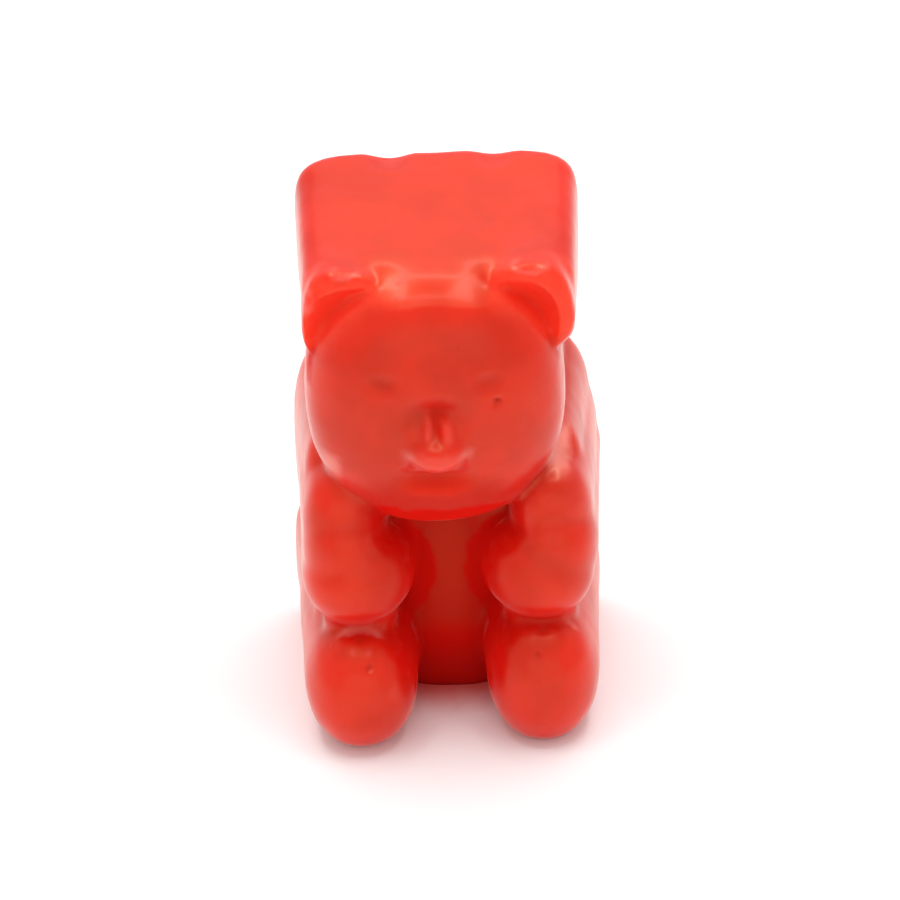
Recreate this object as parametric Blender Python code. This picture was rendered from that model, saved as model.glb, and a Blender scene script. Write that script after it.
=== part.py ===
# A gummy bear, moulded in one piece. It stands on its feet and its base and faces -Y.
# Each feature is a rod that starts at the flat back, narrows towards the front as the
# mould's draft asks, and ends in a rounded cap. One skin is then drawn over them all.
import math

import bmesh
import bpy

MM = 0.001  # metres in a millimetre; every size below is in millimetres

# Driving dimensions. Depths are measured from the back face.
BACK = 5.95  # the back face's distance behind the origin
BACK_ROUNDING = 0.8
SKIN_VOXEL = 0.2
BODY_SMOOTHING = 6
HEAD_SMOOTHING = 3
CUT_SMOOTHING = 3
SMOOTHING_STRENGTH = 0.5
TRIANGLE_SHARE = 0.12  # what the skin keeps of its triangles once it is thinned
COLOUR = (0.72, 0.035, 0.018, 1.0)
ROUGHNESS = 0.3

# at places a rod's axis across and up, half is its half width and half height at the front,
# reach its length from the back and cap the length of its rounded end. square is 2 for an
# oval and more for a rounded box, blunt the same for the cap, and draft is how much the half
# width and half height grow towards the back.
TRUNK = {
    "torso": dict(at=(0.0, 5.5), half=(5.15, 6.7), reach=6.5, cap=1.8, square=2.9, draft=(1.0, 0.6)),
    "belly": dict(at=(0.1, 4.7), half=(2.5, 6.7), reach=6.95, cap=1.5, square=3.0, draft=(0.6, 0.6)),
}
CROWN = {
    "block": dict(at=(0.0, 18.75), half=(5.32, 1.95), reach=8.1, cap=1.3, square=6.0, draft=(0.45, 1.5)),
    "neck": dict(at=(-0.1, 14.5), half=(4.85, 4.5), reach=7.4, cap=1.2, square=3.0, draft=(0.3, 0.5)),
    "left_ear": dict(at=(-3.8, 18.9), half=(1.6, 2.05), reach=8.3, cap=0.5, square=2.9, draft=(0.1, 0.2)),
    "right_ear": dict(at=(3.55, 19.05), half=(1.75, 2.0), reach=8.3, cap=0.5, square=2.7, draft=(0.1, 0.2)),
}
FEET = {
    "left_foot": dict(at=(-3.66, 2.4), half=(2.2, 2.65), reach=11.8, cap=2.6, square=2.1, draft=(0.5, 0.2)),
    "right_foot": dict(at=(3.78, 2.5), half=(2.2, 2.9), reach=11.55, cap=2.6, square=2.1, draft=(0.5, 0.2)),
}
# These come in pairs, one on each side of the middle.
LIMBS = {
    "hip": dict(at=(3.8, 3.0), half=(1.55, 3.2), reach=8.2, cap=1.5, square=3.4, draft=(1.15, 0.3)),
    "yoke": dict(at=(3.2, 9.0), half=(2.5, 4.4), reach=7.2, cap=0.9, square=2.4, draft=(0.6, 0.6)),
    "shoulder": dict(at=(4.25, 9.1), half=(1.6, 2.6), reach=9.5, cap=1.8, square=2.3, draft=(0.55, 0.6)),
    "elbow": dict(at=(4.3, 8.2), half=(1.7, 2.3), reach=10.1, cap=2.1, square=2.1, draft=(0.5, 0.3)),
    "forearm": dict(at=(3.65, 7.15), half=(2.2, 2.0), reach=10.5, cap=2.3, square=2.1),
    "shin": dict(at=(3.65, 5.3), half=(1.45, 1.6), reach=9.6, cap=1.2, square=2.6),
}
HEAD = {
    "ball": dict(at=(-0.27, 15.0), half=(5.25, 5.8), reach=10.3, cap=3.3, square=2.25, draft=(-0.15, 0.1)),
    "muzzle": dict(at=(-0.27, 14.2), half=(2.2, 2.2), reach=10.55, cap=1.4, blunt=2.1),
    "snout": dict(at=(-0.25, 13.95), half=(1.15, 0.75), reach=11.2, cap=1.1, blunt=2.1),
}
TURNS = 64
CAP_RINGS = 12
BACK_RINGS = 4

# The hollows: balls across, up and in from the back at their centres, with their three radii.
EAR_HOLLOWS = {
    "left_ear_hollow": dict(across=-3.0, up=18.0, depth=8.6, wide=2.7, high=2.4, deep=1.2),
    "right_ear_hollow": dict(across=2.9, up=18.6, depth=8.6, wide=2.2, high=2.4, deep=1.35),
}
FACE_HOLLOWS = {
    "left_eye": dict(across=-2.34, up=17.0, depth=10.35, wide=0.7, high=0.5, deep=0.6),
    "right_eye": dict(across=1.85, up=17.0, depth=10.35, wide=0.7, high=0.5, deep=0.6),
    "nose": dict(across=-0.27, up=15.75, depth=10.9, wide=1.0, high=0.55, deep=0.6),
    "nose_groove": dict(across=-0.3, up=15.0, depth=11.0, wide=0.3, high=0.7, deep=0.6),
    "mouth": dict(across=-0.35, up=12.7, depth=10.6, wide=1.6, high=0.45, deep=0.9),
}
HOLLOW_TURNS = 24
FLOOR_DEPTH = 4.0
FLOOR_HALF = 12.0


def outline_point(angle, half, power):
    """A point of a superellipse: an ellipse at power 2, nearer a rectangle above it."""
    c, s = math.cos(angle), math.sin(angle)
    x = math.copysign(abs(c) ** (2 / power), c) * half[0]
    z = math.copysign(abs(s) ** (2 / power), s) * half[1]
    return x, z


def ring_plan(reach, cap, blunt):
    """(depth, share of the outline, inset of the outline) for each ring, from back to front."""
    plan = []
    for step in range(BACK_RINGS):
        angle = math.pi / 2 * step / BACK_RINGS
        depth = BACK_ROUNDING * (1 - math.cos(angle))
        plan.append((depth, 1.0, BACK_ROUNDING * (1 - math.sin(angle))))
    for step in range(CAP_RINGS):
        angle = math.pi / 2 * step / CAP_RINGS
        depth = reach - cap + cap * math.sin(angle) ** (2 / blunt)
        plan.append((depth, math.cos(angle) ** (2 / blunt), 0.0))
    return plan


def add_rod(mesh, side, at, half, reach, cap, square=2.0, blunt=2.4, draft=(0.3, 0.3)):
    rings = []
    for depth, share, inset in ring_plan(reach, cap, blunt):
        grown = [size + growth * (1 - depth / reach) - inset for size, growth in zip(half, draft)]
        ring = []
        for turn in range(TURNS):
            x, z = outline_point(2 * math.pi * turn / TURNS, grown, square)
            place = (side * at[0] + x * share, BACK - depth, at[1] + z * share)
            ring.append(mesh.verts.new([size * MM for size in place]))
        rings.append(ring)
    tip = mesh.verts.new([size * MM for size in (side * at[0], BACK - reach, at[1])])
    for near, far in zip(rings, rings[1:]):
        for turn in range(TURNS):
            after = (turn + 1) % TURNS
            mesh.faces.new((near[turn], near[after], far[after], far[turn]))
    for turn in range(TURNS):
        mesh.faces.new((rings[-1][turn], rings[-1][(turn + 1) % TURNS], tip))
    mesh.faces.new(list(reversed(rings[0])))


def link(name, mesh):
    data = bpy.data.meshes.new(name)
    mesh.to_mesh(data)
    mesh.free()
    made = bpy.data.objects.new(name, data)
    bpy.context.scene.collection.objects.link(made)
    return made


def rods(name, singles, pairs):
    mesh = bmesh.new()
    for plan in singles.values():
        add_rod(mesh, 1, **plan)
    for plan in pairs.values():
        for side in (-1, 1):
            add_rod(mesh, side, **plan)
    bmesh.ops.recalc_face_normals(mesh, faces=mesh.faces)
    return link(name, mesh)


def as_cutter(made):
    made.hide_render = True
    made.display_type = "WIRE"
    return made


def hollow(name, across, up, depth, wide, high, deep):
    mesh = bmesh.new()
    bmesh.ops.create_uvsphere(mesh, u_segments=HOLLOW_TURNS, v_segments=HOLLOW_TURNS // 2, radius=MM)
    bmesh.ops.scale(mesh, vec=(wide, deep, high), verts=mesh.verts)
    bmesh.ops.translate(mesh, vec=[size * MM for size in (across, BACK - depth, up)], verts=mesh.verts)
    return as_cutter(link(name, mesh))


def floor_block():
    """What lies under the resting surface."""
    mesh = bmesh.new()
    bmesh.ops.create_cube(mesh, size=MM)
    bmesh.ops.scale(mesh, vec=(2 * FLOOR_HALF, 2 * FLOOR_HALF, FLOOR_DEPTH), verts=mesh.verts)
    bmesh.ops.translate(mesh, vec=(0, 0, -FLOOR_DEPTH / 2 * MM), verts=mesh.verts)
    return as_cutter(link("floor_block", mesh))


def join(bear, other, operation):
    knife = bear.modifiers.new(other.name, "BOOLEAN")
    knife.operation = operation
    knife.solver = "EXACT"
    knife.object = other


def draw_skin(bear, name, smoothing):
    skin = bear.modifiers.new(name, "REMESH")
    skin.mode = "VOXEL"
    skin.voxel_size = SKIN_VOXEL * MM
    soften = bear.modifiers.new(name + "_soften", "SMOOTH")
    soften.iterations = smoothing
    soften.factor = SMOOTHING_STRENGTH


def gummy():
    made = bpy.data.materials.new("gummy")
    made.use_nodes = True
    shader = made.node_tree.nodes["Principled BSDF"]
    shader.inputs["Base Color"].default_value = COLOUR
    shader.inputs["Roughness"].default_value = ROUGHNESS
    shader.inputs["Metallic"].default_value = 0.0
    return made


def main():
    for old in list(bpy.data.objects):
        bpy.data.objects.remove(old)
    bear = rods("gummy_bear", TRUNK | CROWN | FEET, LIMBS)
    bear.data.materials.append(gummy())
    draw_skin(bear, "skin", BODY_SMOOTHING)
    for name, plan in EAR_HOLLOWS.items():
        join(bear, hollow(name, **plan), "DIFFERENCE")
    head = as_cutter(rods("head", HEAD, {}))
    draw_skin(head, "skin", HEAD_SMOOTHING)
    join(bear, head, "UNION")
    for name, plan in FACE_HOLLOWS.items():
        join(bear, hollow(name, **plan), "DIFFERENCE")
    draw_skin(bear, "cut_skin", CUT_SMOOTHING)
    thin = bear.modifiers.new("thin", "DECIMATE")
    thin.ratio = TRIANGLE_SHARE
    join(bear, floor_block(), "DIFFERENCE")


main()
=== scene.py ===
# A red gummy bear, moulded in one piece, standing on a pale table under soft light.
import math

import bmesh
import bpy
from mathutils import Matrix, Vector, noise


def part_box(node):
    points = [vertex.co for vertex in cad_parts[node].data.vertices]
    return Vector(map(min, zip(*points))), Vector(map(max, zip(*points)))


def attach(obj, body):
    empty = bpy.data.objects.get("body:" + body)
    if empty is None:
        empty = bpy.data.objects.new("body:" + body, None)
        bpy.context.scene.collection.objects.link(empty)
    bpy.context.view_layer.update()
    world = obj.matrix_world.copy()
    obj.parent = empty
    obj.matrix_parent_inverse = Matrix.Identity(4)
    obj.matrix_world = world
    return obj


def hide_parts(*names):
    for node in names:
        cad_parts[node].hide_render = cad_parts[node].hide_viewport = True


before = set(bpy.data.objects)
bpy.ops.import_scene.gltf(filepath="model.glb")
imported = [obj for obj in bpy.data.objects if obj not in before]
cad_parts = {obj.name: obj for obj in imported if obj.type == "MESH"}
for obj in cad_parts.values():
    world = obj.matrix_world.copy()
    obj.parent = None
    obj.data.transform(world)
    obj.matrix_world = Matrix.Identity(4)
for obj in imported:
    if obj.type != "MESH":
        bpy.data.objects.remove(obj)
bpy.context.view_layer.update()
low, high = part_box("gummy_bear")

# Every size below is in millimetres, for a bear of this height. Depths run forward from its back.
bearHeight = 22.0
mm = (high.z - low.z) / bearHeight
backY = high.y / mm


# Rods: the bear is made of them, as its mould is.
# at is the rod's axis (across, up), half its half sizes at the front, reach its length from the
# back and cap the length of its rounded end. square is 2 for an oval and more for a rounded
# box, blunt the same for the end, draft the growth towards the back and turn a tilt in degrees.
rodSteps = {"around": 72, "cap": 14, "back": 4, "backRound": 0.8, "merge": 0.0005}


def rodProfile(reach, cap, blunt):
    points = [(0.0, 0.0)]
    for step in range(rodSteps["back"] + 1):
        angle = math.pi / 2 * step / rodSteps["back"]
        points.append((1.0, rodSteps["backRound"] * (1 - math.cos(angle))))
    for step in range(rodSteps["cap"] + 1):
        angle = math.pi / 2 * step / rodSteps["cap"]
        share = max(math.cos(angle), 0.0) ** (2 / blunt)
        points.append((share, reach - cap + cap * math.sin(angle) ** (2 / blunt)))
    points[-1] = (0.0, reach)
    return points


def rodGrowth(depth, reach, draft):
    rounding = rodSteps["backRound"]
    inset = rounding - math.sqrt(rounding ** 2 - (rounding - depth) ** 2) if depth < rounding else 0.0
    return [growth * (1 - depth / reach) - inset for growth in draft]


def addRod(target, at, half, reach, cap=2.0, square=2.0, blunt=2.2, draft=(0.3, 0.3), turn=0.0):
    rod = bmesh.new()
    line = [rod.verts.new((share, depth, 0)) for share, depth in rodProfile(reach, cap, blunt)]
    edges = [rod.edges.new(pair) for pair in zip(line, line[1:])]
    bmesh.ops.spin(rod, geom=line + edges, cent=(0, 0, 0), axis=(0, 1, 0), angle=2 * math.pi,
                   steps=rodSteps["around"], use_merge=True)
    bmesh.ops.remove_doubles(rod, verts=rod.verts, dist=rodSteps["merge"])
    for vert in rod.verts:
        x, depth, z = vert.co
        radius = math.hypot(x, z)
        if radius > rodSteps["merge"]:
            corner = (abs(x / radius) ** square + abs(z / radius) ** square) ** (-1 / square)
            growth = rodGrowth(depth, reach, draft)
            vert.co.x = x * corner * (half[0] + growth[0])
            vert.co.z = z * corner * (half[1] + growth[1])
        vert.co.y = -depth
    tilt = Matrix.Rotation(math.radians(turn), 3, "Y")
    bmesh.ops.rotate(rod, verts=rod.verts, cent=(0, 0, 0), matrix=tilt)
    bmesh.ops.translate(rod, verts=rod.verts, vec=(at[0], backY, at[1]))
    bmesh.ops.recalc_face_normals(rod, faces=rod.faces)
    data = bpy.data.meshes.new("rod")
    rod.to_mesh(data)
    rod.free()
    target.from_mesh(data)
    bpy.data.meshes.remove(data)


def addPair(target, at, half, uneven=0.0, turn=0.0, **shape):
    for side in (-1, 1):
        addRod(target, (side * at[0] + uneven, at[1]), half, turn=side * turn, **shape)


# Trunk: the block the bear leans against, with its belly, hips and shoulders
trunk = {
    "torso": dict(at=(0.0, 5.5), half=(5.15, 6.7), reach=6.5, cap=1.8, square=2.9, blunt=2.8,
                  draft=(1.0, 0.6)),
    "belly": dict(at=(0.1, 4.7), half=(2.5, 6.7), reach=6.95, cap=1.5, square=3.0, blunt=2.0,
                  draft=(0.6, 0.6)),
}
flanks = {
    "hips": dict(at=(3.8, 3.0), half=(1.55, 3.2), reach=8.2, cap=1.5, square=3.4, blunt=2.4,
                 draft=(1.15, 0.3)),
    "yoke": dict(at=(3.2, 9.0), half=(2.45, 4.4), reach=7.2, cap=0.9, square=2.9, blunt=2.8,
                 draft=(0.6, 0.6)),
}


def makeTrunk(target):
    for plan in trunk.values():
        addRod(target, **plan)
    for plan in flanks.values():
        addPair(target, **plan)


# Crown: the block behind the head, with an ear at each side
crown = {
    "block": dict(at=(0.0, 18.75), half=(5.32, 1.95), reach=8.1, cap=1.3, square=6.0, blunt=2.4,
                  draft=(0.45, 1.5)),
    "neck": dict(at=(-0.1, 14.5), half=(4.85, 4.5), reach=7.4, cap=1.2, square=3.0, blunt=2.4,
                 draft=(0.3, 0.5)),
    "lobe": dict(at=(-0.05, 15.2), half=(4.75, 5.3), reach=8.0, cap=1.2, square=2.6, blunt=2.4,
                 draft=(0.4, 1.6)),
    "leftEar": dict(at=(-3.8, 18.9), half=(1.6, 2.05), reach=8.3, cap=0.45, square=2.9, blunt=2.6,
                    draft=(0.1, 0.15), turn=8),
    "rightEar": dict(at=(3.55, 19.05), half=(1.75, 2.0), reach=8.3, cap=0.45, square=2.7, blunt=2.6,
                     draft=(0.1, 0.15), turn=-8),
}
earBowls = {
    "left": dict(at=(-3.0, 18.0), size=(2.5, 2.3), depth=0.5, square=2.5),
    "right": dict(at=(2.8, 18.5), size=(1.85, 1.95), depth=0.65, square=2.4),
}
bowlFront = 8.1
bowlSpare = {"rough": 0.88, "last": 1.0}  # the head's share that a scoop leaves whole
topSoften = {"rounds": 60, "above": 19.5, "after": 1.3, "before": 7.0}
browSoften = {"above": 19.8, "after": 6.3, "before": 9.0, "passes": ((1.9, 50), (2.3, 14), (2.8, 8))}


def makeCrown(target):
    for plan in crown.values():
        addRod(target, **plan)


# Limbs: the ones in limbs come in pairs, and uneven moves a pair to the right
limbs = {
    "shoulders": dict(at=(4.2, 9.1), half=(1.6, 2.6), reach=9.5, cap=1.8, square=2.3, blunt=2.4,
                      uneven=0.1, draft=(0.55, 0.6)),
    "elbows": dict(at=(4.2, 8.2), half=(1.7, 2.3), reach=10.1, cap=2.1, square=2.1, uneven=0.17,
                   draft=(0.5, 0.3)),
    "forearms": dict(at=(3.65, 7.15), half=(2.25, 2.0), reach=10.5, cap=2.3, square=2.1, turn=22,
                     uneven=0.04),
    "shins": dict(at=(3.65, 5.3), half=(1.45, 1.6), reach=9.6, cap=1.2, square=2.6, blunt=2.4, uneven=0.05),
}
feet = {
    "left": dict(at=(-3.66, 2.4), half=(2.2, 2.65), reach=11.8, cap=2.6, square=2.1, blunt=2.4,
                 draft=(0.5, 0.2)),
    "right": dict(at=(3.78, 2.5), half=(2.2, 2.9), reach=11.55, cap=2.6, square=2.1, blunt=2.4,
                  draft=(0.5, 0.2)),
}
# Creases above the paws, pressed in like the face's features
armsFront = 7.8
armPresses = {
    "leftCrease": dict(at=(-2.28, 8.88), size=(1.2, 0.42), depth=0.2, turn=-43),
    "rightCrease": dict(at=(2.35, 8.85), size=(1.2, 0.42), depth=0.2, turn=37),
}


def makeLimbs(target):
    for plan in limbs.values():
        addPair(target, **plan)
    for plan in feet.values():
        addRod(target, **plan)


# Head: a ball with a muzzle and a snout
head = {
    "ball": dict(at=(-0.27, 15.0), half=(5.25, 5.8), reach=10.3, cap=3.3, square=2.25, blunt=2.4,
                 draft=(-0.15, 0.1)),
    "muzzle": dict(at=(-0.27, 14.2), half=(2.2, 2.2), reach=10.55, cap=1.4, blunt=2.1),
    "snout": dict(at=(-0.25, 13.95), half=(1.15, 0.75), reach=11.2, cap=1.1, blunt=2.1),
}
# Presses into the face: where (across, up), how wide and high, and how deep
faceFront = 9.0
mouth = dict(at=(-0.35, 12.65), size=(2.1, 0.9), depth=0.58)
facePresses = {
    "leftEye": dict(at=(-2.34, 17.0), size=(0.85, 0.6), depth=0.14),
    "rightEye": dict(at=(1.85, 17.0), size=(0.85, 0.6), depth=0.14),
    "noseTop": dict(at=(-0.27, 15.6), size=(1.9, 1.15), depth=0.33),
    "noseFoot": dict(at=(-0.27, 15.1), size=(0.8, 0.95), depth=0.08),
    "nosePit": dict(at=(-0.15, 15.7), size=(0.7, 0.5), depth=0.14),
    "noseGroove": dict(at=(-0.27, 15.05), size=(0.26, 0.8), depth=0.15),
    "noseLeft": dict(at=(-0.64, 15.15), size=(0.28, 0.8), depth=-0.2),
    "noseRight": dict(at=(0.18, 14.95), size=(0.38, 0.75), depth=-0.24),
}
# Small pits where bubbles broke: (across, depth, up), how wide and how deep.
pits = {
    "leftFoot": dict(at=(-3.25, 11.14, 4.29), size=0.26, depth=0.15),
    "leftFootTop": dict(at=(-3.62, 10.14, 4.98), size=0.25, depth=0.08),
    "rightFoot": dict(at=(3.51, 10.91, 4.57), size=0.22, depth=0.13),
    "rightFootTop": dict(at=(3.79, 10.13, 5.19), size=0.35, depth=0.07),
    "brow": dict(at=(2.2, 10.07, 16.1), size=0.3, depth=0.18),
    "rightEar": dict(at=(5.12, 6.9, 21.25), size=0.45, depth=0.2),
    "leftEar": dict(at=(-4.87, 8.2, 20.45), size=0.75, depth=0.2),
    "topLeftDip": dict(at=(-1.84, 0.6, 22.0), size=1.2, depth=0.24),
    "topRightDip": dict(at=(2.34, 0.6, 22.0), size=1.2, depth=0.17),
}


def makeHead(target):
    for plan in head.values():
        addRod(target, **plan)


# Skins: one surface drawn over the rods, then pressed like clay
skin = {
    "voxel": 0.13, "bodySoften": 13, "crownSoften": 8, "headSoften": 6, "lastSoften": 4,
    "strength": 0.5, "unevenness": 0.035, "lumpSize": 2.4, "fineLumps": 2.7, "fineShare": 0.4,
}


def asObject(name, mesh):
    data = bpy.data.meshes.new(name)
    mesh.to_mesh(data)
    mesh.free()
    made = bpy.data.objects.new(name, data)
    bpy.context.scene.collection.objects.link(made)
    return made


def drawSkin(mesh, soften):
    work = asObject("skinWork", mesh)
    draw = work.modifiers.new("draw", "REMESH")
    draw.mode = "VOXEL"
    draw.voxel_size = skin["voxel"]
    smooth = work.modifiers.new("soften", "SMOOTH")
    smooth.iterations = soften
    smooth.factor = skin["strength"]
    drawn = bmesh.new()
    drawn.from_object(work, bpy.context.evaluated_depsgraph_get())
    data = work.data
    bpy.data.objects.remove(work)
    bpy.data.meshes.remove(data)
    return drawn


def merge(target, other):
    data = bpy.data.meshes.new("merge")
    other.to_mesh(data)
    other.free()
    target.from_mesh(data)
    bpy.data.meshes.remove(data)


# How far a point is from a pad's middle: 1 at the pad's edge.
def padDistance(vert, at, size, turn=0.0, square=2.0):
    c, s = math.cos(math.radians(turn)), math.sin(math.radians(turn))
    x, z = vert.co.x - at[0], vert.co.z - at[1]
    wide, tall = abs((x * c + z * s) / size[0]), abs((z * c - x * s) / size[1])
    return (wide ** square + tall ** square) ** (1 / square)


# How far a surface moves: all of depth where fall is 1, nothing where it is 0
def eased(depth, fall):
    return depth * fall * fall * (3 - 2 * fall)


# The front surface gives way under a pad: deepest in the middle, nothing past its edge.
def press(mesh, front, at, size, depth, turn=0.0):
    for vert in mesh.verts:
        fall = 1 - padDistance(vert, at, size, turn)
        if vert.co.y < backY - front and fall > 0:
            vert.co.y += eased(depth, fall)


# Nothing in a bowl stands out of its round floor, but the head is left whole.
def scoop(mesh, spare, at, size, depth, square):
    ball = head["ball"]
    for vert in mesh.verts:
        away = padDistance(vert, at, size, square=square)
        onHead = padDistance(vert, ball["at"], ball["half"], square=ball["square"]) < spare
        if away < 1 and not onHead:
            vert.co.y = max(vert.co.y, backY - bowlFront + depth * (1 - away * away))


# A ball pushed into the surface leaves a round pit.
def dent(mesh, at, size, depth):
    middle = Vector((at[0], backY - at[1], at[2]))
    for vert in mesh.verts:
        fall = 1 - (vert.co - middle).length / size
        if fall > 0:
            vert.co -= vert.normal * eased(depth, fall)


# The crown's top is nearly level behind the ears.
def softenTop(mesh):
    flat = [vert for vert in mesh.verts if vert.co.z > topSoften["above"]
            and topSoften["after"] < backY - vert.co.y < topSoften["before"]]
    for step in range(topSoften["rounds"]):
        bmesh.ops.smooth_vert(mesh, verts=flat, factor=skin["strength"], use_axis_x=False,
                              use_axis_y=False, use_axis_z=True)


# The crown runs into the forehead between the ears.
def softenBrow(mesh):
    near = [vert for vert in mesh.verts if vert.co.z > browSoften["above"]
            and browSoften["after"] < backY - vert.co.y < browSoften["before"]]
    for half, rounds in browSoften["passes"]:
        brow = [vert for vert in near if abs(vert.co.x) < half]
        for step in range(rounds):
            bmesh.ops.smooth_vert(mesh, verts=brow, factor=skin["strength"], use_axis_x=False,
                                  use_axis_y=True, use_axis_z=True)


def unevenSurface(mesh):
    mesh.normal_update()
    moves = []
    for vert in mesh.verts:
        lump = noise.noise(vert.co / skin["lumpSize"])
        lump += skin["fineShare"] * noise.noise(vert.co * skin["fineLumps"] / skin["lumpSize"])
        moves.append(vert.normal * lump * skin["unevenness"])
    for vert, move in zip(mesh.verts, moves):
        vert.co += move


def makeBear():
    body = bmesh.new()
    makeTrunk(body)
    makeLimbs(body)
    body = drawSkin(body, skin["bodySoften"])
    top = bmesh.new()
    makeCrown(top)
    top = drawSkin(top, skin["crownSoften"])
    softenTop(top)
    for bowl in earBowls.values():
        scoop(top, bowlSpare["rough"], **bowl)
    merge(body, top)
    face = bmesh.new()
    makeHead(face)
    face = drawSkin(face, skin["headSoften"])
    press(face, faceFront, **mouth)
    merge(body, face)
    bear = drawSkin(body, skin["lastSoften"])
    for bowl in earBowls.values():
        scoop(bear, bowlSpare["last"], **bowl)
    softenBrow(bear)
    for plan in facePresses.values():
        press(bear, faceFront, **plan)
    for plan in armPresses.values():
        press(bear, armsFront, **plan)
    bear.normal_update()
    for plan in pits.values():
        dent(bear, **plan)
    unevenSurface(bear)
    whole = bear.verts[:] + bear.edges[:] + bear.faces[:]
    cut = bmesh.ops.bisect_plane(bear, geom=whole, plane_co=(0, 0, 0), plane_no=(0, 0, -1),
                                 clear_outer=True)
    rim = [part for part in cut["geom_cut"] if isinstance(part, bmesh.types.BMEdge)]
    bmesh.ops.holes_fill(bear, edges=rim, sides=0)
    bmesh.ops.triangulate(bear, faces=[face for face in bear.faces if len(face.verts) > 4])
    bmesh.ops.recalc_face_normals(bear, faces=bear.faces)
    bmesh.ops.scale(bear, vec=(mm, mm, mm), verts=bear.verts)
    for face in bear.faces:
        face.smooth = True
    return asObject("gummyBear", bear)


# Shader maths: expressions on sockets add their own nodes
class Wire:
    def __init__(self, tree, socket):
        self.tree = tree
        self.socket = socket

    def math(self, operation, *values):
        return self.tree.node("ShaderNodeMath", {"operation": operation}, *values)

    def __add__(self, other):
        return self.math("ADD", self, other)

    def __sub__(self, other):
        return self.math("SUBTRACT", self, other)

    def __rsub__(self, other):
        return self.math("SUBTRACT", other, self)

    def __mul__(self, other):
        return self.math("MULTIPLY", self, other)

    __radd__ = __add__
    __rmul__ = __mul__

    # 0 below low, 1 above high, smooth between
    def ramp(self, low, high):
        settings = {"interpolation_type": "SMOOTHSTEP"}
        return self.tree.node("ShaderNodeMapRange", settings, self, low, high, 0.0, 1.0)


class Tree:
    def __init__(self, name):
        self.material = bpy.data.materials.new(name)
        self.material.use_nodes = True
        self.nodes = self.material.node_tree.nodes
        self.links = self.material.node_tree.links
        self.shader = self.nodes["Principled BSDF"]

    def plug(self, socket, value):
        if isinstance(value, Wire):
            self.links.new(value.socket, socket)
        else:
            socket.default_value = value

    # values go to the sockets in order, or by name
    def node(self, kind, settings, *values, output=0, **named):
        made = self.nodes.new(kind)
        for name, value in settings.items():
            setattr(made, name, value)
        for socket, value in zip([socket for socket in made.inputs if socket.enabled], values):
            self.plug(socket, value)
        for name, value in named.items():
            self.plug(made.inputs[name.replace("_", " ")], value)
        return Wire(self, made.outputs[output])

    def set(self, **values):
        for name, value in values.items():
            self.plug(self.shader.inputs[name.replace("_", " ")], value)

    # position on the piece in millimetres, stretched by scale
    def place(self, scale=(1, 1, 1)):
        spot = self.node("ShaderNodeTexCoord", {}, output="Object")
        size = [value / mm for value in scale]
        return self.node("ShaderNodeMapping", {}, spot, Scale=size)

    def part(self, vector, axis):
        return self.node("ShaderNodeSeparateXYZ", {}, vector, output=axis)

    def noise(self, spot, scale, detail=2.0, output=0):
        return self.node("ShaderNodeTexNoise", {}, Vector=spot, Scale=scale, Detail=detail, output=output)

    def mixColour(self, factor, first, second):
        mix = self.nodes.new("ShaderNodeMix")
        mix.data_type = "RGBA"
        self.plug(mix.inputs["Factor"], factor)
        self.plug(mix.inputs[6], first)
        self.plug(mix.inputs[7], second)
        return Wire(self, mix.outputs[2])


# Gum: a glossy, cloudy red that light sinks into
gum = {
    "deepRed": (0.61, 0.0055, 0.0022, 1), "brightRed": (0.71, 0.009, 0.004, 1),
    "cloudSize": 3.0, "cloudEdge": (0.35, 0.65), "cloudDetail": 3.0,
    "roughness": 0.34, "roughnessSpread": 0.12, "smears": 1.4, "smearStretch": (1, 0.25, 1),
    "depthOfLight": 1.4, "lightSpread": (1.0, 0.1, 0.06), "ior": 1.4, "shineTint": (1.0, 1.0, 0.4, 1),
    "coat": 0.2, "coatRoughness": 0.15,
    "sheen": 0.3, "sheenRoughness": 0.3, "sheenTint": (1.0, 0.97, 0.85, 1),
    # Painted shade: a darker, duller red for patches where shade falls
    "paintedShadeRed": (0.57, 0.0012, 0.002, 1), "paintedShadeRoughness": 0.3,
    # Painted highlight colour, whitish, and painted light colour, a lighter red
    "paintedHighlightRed": (0.95, 0.36, 0.31, 1), "paintedLightRed": (0.93, 0.045, 0.02, 1),
    # Painted groove shade: a dark red, darker still towards the bottom, and a faint painted red glow
    "paintedGrooveRed": (0.6, 0.007, 0.004, 1), "paintedGrooveFootRed": (0.42, 0.007, 0.005, 1),
    "paintedGrooveFootHeights": (0.2, 3.2), "grooveRoughness": 0.6,
    "paintedGlowColour": (1.0, 0.006, 0.002, 1), "paintedGlow": 0.03,
}
# The fine surface: how many grains to a millimetre, and how high they are in millimetres
grain = {
    "fine": 2.5, "fineHeight": 0.004, "broad": 0.7, "broadHeight": 0.02,
    "specks": 0.6, "speckEdge": (0.03, 0.09), "speckHeight": 0.012,
}
patchEdge = {"size": 1.1, "reach": 0.6}
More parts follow.
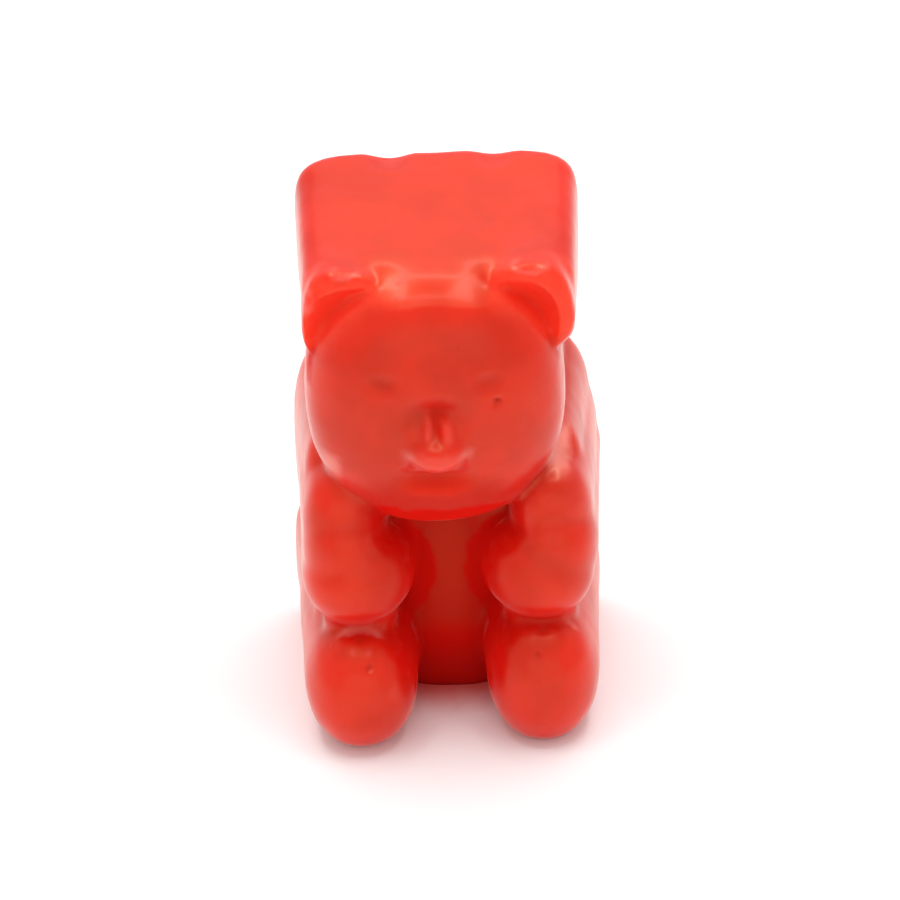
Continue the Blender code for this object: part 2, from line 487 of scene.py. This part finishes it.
# Soft patches of painted light and shade: (across, depth, up) of the middle, half sizes, the soft edge
# and how strong. The painted shade is a deeper, duller red, the painted highlights whitish, the painted
# light a lighter red, and the painted groove shade is dark, doesn't shine and glows faintly red.
# Painted shade in the belly, eyes, nose, chin, paws and pits, and dulled shine on the foot tops
paintedShade = {
    "belly": dict(at=(0.1, 5.3, 4.0), half=(2.9, 2.3, 5.6), soft=(0.9, 0.7, 1.2), share=1.0),
    "leftEye": dict(at=(-2.34, 10.0, 17.0), half=(0.45, 1.0, 0.4), soft=(0.3, 0.5, 0.3), share=0.45),
    "rightEye": dict(at=(1.85, 10.0, 17.0), half=(0.55, 1.0, 0.5), soft=(0.4, 0.5, 0.4), share=0.4),
    "nose": dict(at=(-0.27, 10.5, 15.85), half=(0.9, 1.0, 0.45), soft=(0.5, 0.5, 0.4), share=0.5),
    "noseFoot": dict(at=(-0.27, 10.5, 15.1), half=(0.5, 1.0, 0.45), soft=(0.4, 0.5, 0.3), share=0.3),
    "chin": dict(at=(-0.3, 9.5, 11.4), half=(2.6, 1.5, 0.9), soft=(0.8, 0.6, 0.5), share=0.9),
    "leftPaw": dict(at=(-2.5, 10.2, 7.1), half=(0.9, 1.5, 1.1), soft=(0.7, 0.5, 0.8), share=0.4),
    "rightPaw": dict(at=(2.6, 10.2, 7.1), half=(0.9, 1.5, 1.1), soft=(0.7, 0.5, 0.8), share=0.5),
    "browPit": dict(at=(2.2, 10.07, 16.1), half=(0.12, 0.4, 0.12), soft=(0.1, 0.2, 0.1), share=1.0),
    "leftFootPit": dict(at=(-3.25, 11.14, 4.29), half=(0.12, 0.4, 0.12), soft=(0.1, 0.2, 0.1), share=0.5),
    "leftFootTop": dict(at=(-3.62, 10.14, 4.98), half=(0.2, 0.15, 0.4), soft=(0.12, 0.1, 0.2), share=0.6),
    "leftFootShine": dict(at=(-3.7, 10.65, 4.75), half=(0.9, 0.3, 0.4), soft=(0.3, 0.2, 0.3), share=0.5),
    "rightFootShine": dict(at=(3.86, 10.43, 5.05), half=(0.7, 0.3, 0.4), soft=(0.3, 0.2, 0.3), share=0.4),
    "rightFootPit": dict(at=(3.51, 10.91, 4.57), half=(0.1, 0.4, 0.1), soft=(0.1, 0.2, 0.1), share=0.8),
    "rightFootTop": dict(at=(3.79, 10.13, 5.19), half=(0.25, 0.2, 0.4), soft=(0.15, 0.1, 0.2), share=0.6),
}
# Painted highlights and reflections on the snout, nose, ear rims, foot tops and the edges of neck, shoulder
# and ear
paintedHighlights = {
    "snout": dict(at=(-0.3, 10.9, 13.95), half=(0.95, 0.8, 0.3), soft=(0.3, 0.4, 0.2), share=0.12),
    "snoutLeft": dict(at=(-1.4, 10.4, 13.95), half=(0.22, 0.8, 0.2), soft=(0.2, 0.4, 0.18), share=0.15),
    "snoutRight": dict(at=(0.9, 10.4, 13.95), half=(0.22, 0.8, 0.2), soft=(0.2, 0.4, 0.18), share=0.15),
    "rightNeck": dict(at=(4.65, 7.3, 12.2), half=(0.4, 1.1, 0.6), soft=(0.25, 0.6, 0.5), share=0.85),
    "rightEdge": dict(at=(5.0, 7.6, 15.0), half=(0.35, 0.9, 2.2), soft=(0.2, 0.7, 1.0), share=0.22),
    "leftNeck": dict(at=(-4.5, 8.5, 12.6), half=(0.35, 1.2, 0.6), soft=(0.3, 0.4, 0.4), share=0.4),
    "leftEarRim": dict(at=(-3.7, 7.95, 20.86), half=(0.5, 0.4, 0.08), soft=(0.3, 0.3, 0.08), share=0.25),
    "rightEarRim": dict(at=(3.6, 7.85, 20.9), half=(0.7, 0.4, 0.08), soft=(0.3, 0.3, 0.08), share=0.2),
    "leftFootTop": dict(at=(-3.67, 9.75, 5.08), half=(0.9, 0.12, 0.4), soft=(0.3, 0.1, 0.3), share=0.35),
    "rightFootTop": dict(at=(4.86, 9.5, 5.15), half=(0.4, 0.12, 0.4), soft=(0.2, 0.1, 0.3), share=0.3),
    "noseLeft": dict(at=(-0.62, 10.4, 15.1), half=(0.1, 0.8, 0.45), soft=(0.08, 0.4, 0.2), share=0.08),
    "noseRight": dict(at=(0.2, 10.4, 14.95), half=(0.18, 0.8, 0.38), soft=(0.12, 0.4, 0.2), share=0.07),
    "rightShoulder": dict(at=(5.3, 8.3, 10.4), half=(0.6, 1.2, 0.8), soft=(0.5, 0.6, 0.6), share=0.05),
    "leftEarSide": dict(at=(-5.2, 8.0, 19.7), half=(0.25, 0.8, 0.5), soft=(0.15, 0.3, 0.2), share=0.4),
}
# Painted light: a lighter red in the ear bowls, mouth and nose, as if light shone through the gum
paintedLight = {
    "leftEar": dict(at=(-3.6, 7.7, 19.2), half=(1.9, 0.9, 1.5), soft=(0.3, 0.5, 0.3), share=0.7),
    "rightEar": dict(at=(3.6, 7.7, 19.4), half=(1.7, 0.9, 1.5), soft=(0.3, 0.5, 0.3), share=0.7),
    "mouth": dict(at=(-0.3, 9.8, 12.3), half=(1.3, 1.2, 0.5), soft=(0.4, 0.5, 0.3), share=0.3),
    "nose": dict(at=(-0.2, 10.1, 15.3), half=(0.5, 0.9, 0.6), soft=(0.3, 0.4, 0.3), share=0.3),
}
# Painted groove shade, without shine and with a faint painted red glow, in crevices, bowls and under chin
# and paws
paintedGrooveShade = {
    "besideBelly": dict(at=(0.1, 5.9, 4.0), half=(2.05, 2.4, 5.6), soft=(0.4, 0.4, 0.8), share=1.0),
    "insideArms": dict(at=(0.1, 6.4, 5.6), half=(1.7, 3.1, 3.0), soft=(0.15, 0.4, 0.6), share=1.0),
    "insideFeet": dict(at=(0.05, 7.1, 4.65), half=(2.15, 3.6, 1.35), soft=(0.2, 0.4, 0.4), share=1.0),
    "betweenFeet": dict(at=(0.05, 5.9, 2.4), half=(1.65, 2.5, 1.9), soft=(0.15, 0.4, 0.5), share=1.0),
    "insideAnkles": dict(at=(0.05, 8.8, 2.9), half=(1.75, 1.4, 0.8), soft=(0.15, 0.3, 0.4), share=1.0),
    "leftBowl": dict(at=(-3.0, 7.4, 18.0), half=(2.3, 0.65, 2.1), soft=(0.3, 0.3, 0.3), share=0.9),
    "rightBowl": dict(at=(2.8, 7.4, 18.5), half=(1.75, 0.65, 1.9), soft=(0.3, 0.3, 0.3), share=0.9),
    "underChin": dict(at=(-0.3, 8.9, 10.2), half=(2.9, 1.6, 0.62), soft=(0.8, 0.3, 0.2), share=1.0),
    "underLeftPaw": dict(at=(-3.6, 8.9, 5.45), half=(2.0, 1.6, 0.4), soft=(0.4, 0.4, 0.2), share=0.6),
    "underRightPaw": dict(at=(3.7, 8.9, 5.5), half=(2.0, 1.6, 0.4), soft=(0.4, 0.4, 0.2), share=0.6),
    "leftCrease": dict(at=(-2.2, 9.0, 8.8), half=(0.8, 1.2, 0.15), soft=(0.35, 0.4, 0.14), share=0.8,
                       turn=-43),
    "rightCrease": dict(at=(2.25, 9.0, 8.77), half=(0.8, 1.2, 0.15), soft=(0.35, 0.4, 0.14), share=0.8,
                        turn=37),
    "nosePit": dict(at=(-0.15, 9.9, 15.62), half=(0.38, 0.8, 0.22), soft=(0.15, 0.4, 0.12), share=0.65),
    "noseGroove": dict(at=(-0.25, 10.2, 15.05), half=(0.17, 0.8, 0.38), soft=(0.1, 0.4, 0.2), share=0.65),
    "mouth": dict(at=(-0.3, 9.8, 12.3), half=(1.3, 1.2, 0.5), soft=(0.4, 0.5, 0.3), share=0.55),
}
# The plateau down the belly, narrow at its waist, shines between the grooves, free of their painted shade.
plateau = {
    "middle": 0.1, "waist": 0.6, "waistHeight": 6.2, "flare": 0.16, "edge": 0.14,
    "foot": (2.6, 4.2), "top": (9.5, 9.8), "front": (7.3, 7.7), "ragged": 0.5, "raggedSize": 1.6,
}


# How strongly each place lies in the patches, whose edges wander a little
def patchMask(tree, plans):
    spot = tree.place()
    shift = tree.noise(spot, patchEdge["size"], output="Color")
    shift = tree.node("ShaderNodeVectorMath", {"operation": "SUBTRACT"}, shift, (0.5, 0.5, 0.5))
    reach = (patchEdge["reach"],) * 3
    spot = tree.node("ShaderNodeVectorMath", {"operation": "MULTIPLY_ADD"}, shift, reach, spot)
    mask = 0.0
    for plan in plans.values():
        middle = (plan["at"][0], backY - plan["at"][1], plan["at"][2])
        away = tree.node("ShaderNodeVectorRotate", {"rotation_type": "Y_AXIS"}, spot, Center=middle,
                         Angle=math.radians(plan.get("turn", 0)))
        away = tree.node("ShaderNodeVectorMath", {"operation": "SUBTRACT"}, away, middle)
        away = tree.node("ShaderNodeVectorMath", {"operation": "ABSOLUTE"}, away)
        inside = plan["share"]
        for axis, half, soft in zip("XYZ", plan["half"], plan["soft"]):
            inside = inside * (1 - tree.part(away, axis).ramp(half - soft, half + soft))
        mask = mask + inside - mask * inside
    return mask


def plateauMask(tree, spot):
    ragged = (tree.noise(spot, plateau["raggedSize"]) - 0.5) * plateau["ragged"]
    across = tree.part(spot, "X") - plateau["middle"]
    across = across.math("ABSOLUTE", across)
    up = tree.part(spot, "Z")
    high = up - plateau["waistHeight"]
    width = high * high * plateau["flare"] + plateau["waist"]
    inside = 1 - (across + ragged - width).ramp(-plateau["edge"], plateau["edge"])
    inside = inside * up.ramp(*plateau["foot"]) * (1 - up.ramp(*plateau["top"]))
    return inside * (1 - (backY - tree.part(spot, "Y")).ramp(*plateau["front"]))


def gumMaterial():
    tree = Tree("redGum")
    spot = tree.place()
    cloud = tree.noise(spot, 1 / gum["cloudSize"], gum["cloudDetail"])
    # Painted shade: a darker, duller red and no coat where these patches lie
    mask = patchMask(tree, paintedShade)
    colour = tree.mixColour(cloud.ramp(*gum["cloudEdge"]), gum["deepRed"], gum["brightRed"])
    colour = tree.mixColour(mask, colour, gum["paintedShadeRed"])
    # Painted light: a lighter red mixed in
    paintedLit = patchMask(tree, paintedLight)
    colour = tree.mixColour(paintedLit, colour, gum["paintedLightRed"])
    # Painted highlights and reflections mixed in
    colour = tree.mixColour(patchMask(tree, paintedHighlights), colour, gum["paintedHighlightRed"])
    smear = tree.noise(tree.place(gum["smearStretch"]), gum["smears"], gum["cloudDetail"])
    roughness = smear * gum["roughnessSpread"] + (gum["roughness"] - gum["roughnessSpread"] / 2)
    roughness = roughness + mask * gum["paintedShadeRoughness"]
    specks = tree.node("ShaderNodeTexVoronoi", {}, Vector=spot, Scale=grain["specks"])
    height = tree.noise(spot, grain["fine"]) * grain["fineHeight"]
    height = height + tree.noise(spot, grain["broad"], detail=1.0) * grain["broadHeight"]
    height = height + specks.ramp(*grain["speckEdge"]) * grain["speckHeight"]
    bump = tree.node("ShaderNodeBump", {}, Height=height * mm, Strength=1.0, Distance=1.0)
    tree.set(Base_Color=colour, Roughness=roughness, Normal=bump, Metallic=0.0, IOR=gum["ior"],
             Specular_Tint=gum["shineTint"], Sheen_Weight=gum["sheen"],
             Sheen_Roughness=gum["sheenRoughness"], Sheen_Tint=gum["sheenTint"],
             Subsurface_Weight=1.0, Subsurface_Radius=gum["lightSpread"],
             Subsurface_Scale=gum["depthOfLight"] * mm, Coat_Weight=gum["coat"] * (1 - mask),
             Coat_Roughness=gum["coatRoughness"])
    # Painted groove shade, darker towards the bottom
    above = tree.part(spot, "Z").ramp(*gum["paintedGrooveFootHeights"])
    paintedGrooveColour = tree.mixColour(above, gum["paintedGrooveFootRed"], gum["paintedGrooveRed"])
    paintedGrooveColour = tree.mixColour(paintedLit, paintedGrooveColour, gum["paintedLightRed"])
    # A second shader for the painted groove shade: no shine and a faint painted red glow
    paintedShadeShader = tree.node("ShaderNodeBsdfPrincipled", {}, paintedGrooveColour, Normal=bump,
                       Roughness=gum["grooveRoughness"], Specular_IOR_Level=0.0,
                       Subsurface_Weight=1.0, Subsurface_Radius=gum["lightSpread"],
                       Subsurface_Scale=gum["depthOfLight"] * mm,
                       Emission_Color=gum["paintedGlowColour"], Emission_Strength=gum["paintedGlow"])
    # Where the painted groove shade replaces the gum's shine
    paintedGrooveMask = patchMask(tree, paintedGrooveShade) * (1 - plateauMask(tree, spot))
    both = tree.node("ShaderNodeMixShader", {}, paintedGrooveMask, Wire(tree, tree.shader.outputs[0]), paintedShadeShader)
    tree.plug(tree.nodes["Material Output"].inputs["Surface"], both)
    return tree.material


# Stage: a pale table, a pale room, six soft lamps and the camera
stage = {
    # The red colour is for the painted shadow on the table between the feet
    "floorColour": (1.0, 0.99, 0.985, 1), "paintedShadowColour": (0.78, 0.12, 0.1, 1), "floorRoughness": 0.6,
    "floorShine": 0.2, "floorSize": 400, "world": 0.73,
    "aim": (0.25, 0.75, 10.8), "elevation": 33.0, "distance": 200.0, "lens": 196.8, "filmWidth": 36,
    "lean": 1.75,
}
# Lamps: where, how wide and long, and how many watts. The aimed ones face the bear, the others down.
lamps = {
    "overLeft": dict(place=(-34, 5, 120), size=(18, 75), power=0.034, aimed=False),
    "overRight": dict(place=(34, 5, 120), size=(18, 75), power=0.034, aimed=False),
    "overFront": dict(place=(0, -30, 120), size=(50, 12), power=0.008, aimed=False),
    "overBack": dict(place=(0, 38, 120), size=(50, 12), power=0.013, aimed=False),
    "front": dict(place=(0, -170, 60), size=(220, 100), power=0.035, aimed=True),
    "behind": dict(place=(0, 120, 160), size=(240, 110), power=0.065, aimed=True),
}
# Painted shadow on the table between the feet, tinted red like light that comes through the gum.
paintedRedShadow = {
    "betweenFeet": dict(at=(0.05, 5.0, 0.0), half=(1.9, 2.5, 1.0), soft=(0.5, 1.4, 0.5), share=1.0),
}


def makeFloor():
    mesh = bmesh.new()
    bmesh.ops.create_grid(mesh, x_segments=1, y_segments=1, size=stage["floorSize"] * mm)
    floor = asObject("floor", mesh)
    tree = Tree("paleFloor")
    # Painted red shadow mixed into the table's colour
    colour = tree.mixColour(patchMask(tree, paintedRedShadow), stage["floorColour"], stage["paintedShadowColour"])
    tree.set(Base_Color=colour, Roughness=stage["floorRoughness"], Specular_IOR_Level=stage["floorShine"])
    floor.data.materials.append(tree.material)


def makeLamps():
    aim = Vector(stage["aim"]) * mm
    for name, plan in lamps.items():
        light = bpy.data.lights.new(name, "AREA")
        light.shape = "RECTANGLE"
        light.size = plan["size"][0] * mm
        light.size_y = plan["size"][1] * mm
        light.energy = plan["power"]
        lamp = bpy.data.objects.new(name, light)
        bpy.context.scene.collection.objects.link(lamp)
        lamp.location = Vector(plan["place"]) * mm
        if plan["aimed"]:
            lamp.rotation_euler = (aim - lamp.location).to_track_quat("-Z", "Y").to_euler()
    world = bpy.data.worlds.new("paleRoom")
    world.use_nodes = True
    world.node_tree.nodes["Background"].inputs["Color"].default_value = (1, 1, 1, 1)
    world.node_tree.nodes["Background"].inputs["Strength"].default_value = stage["world"]
    bpy.context.scene.world = world


def makeCamera():
    tilt = math.radians(stage["elevation"])
    away = Vector((0, -math.cos(tilt), math.sin(tilt)))
    lens = bpy.data.cameras.new("camera")
    lens.lens = stage["lens"]
    lens.sensor_width = stage["filmWidth"]
    lens.clip_start = 0.001  # metres
    camera = bpy.data.objects.new("camera", lens)
    bpy.context.scene.collection.objects.link(camera)
    camera.location = (Vector(stage["aim"]) + away * stage["distance"]) * mm
    lean = Matrix.Rotation(math.radians(-stage["lean"]), 3, "Z").to_quaternion()
    camera.rotation_euler = (away.to_track_quat("Z", "Y") @ lean).to_euler()
    bpy.context.scene.camera = camera


bear = makeBear()
bear.data.materials.append(gumMaterial())
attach(bear, "root")
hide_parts("gummy_bear")
print("bear made:", len(bear.data.polygons), "faces")

makeFloor()
makeLamps()
makeCamera()
bpy.context.scene.view_settings.view_transform = "Standard"
print("stage set")

bpy.context.view_layer.update()
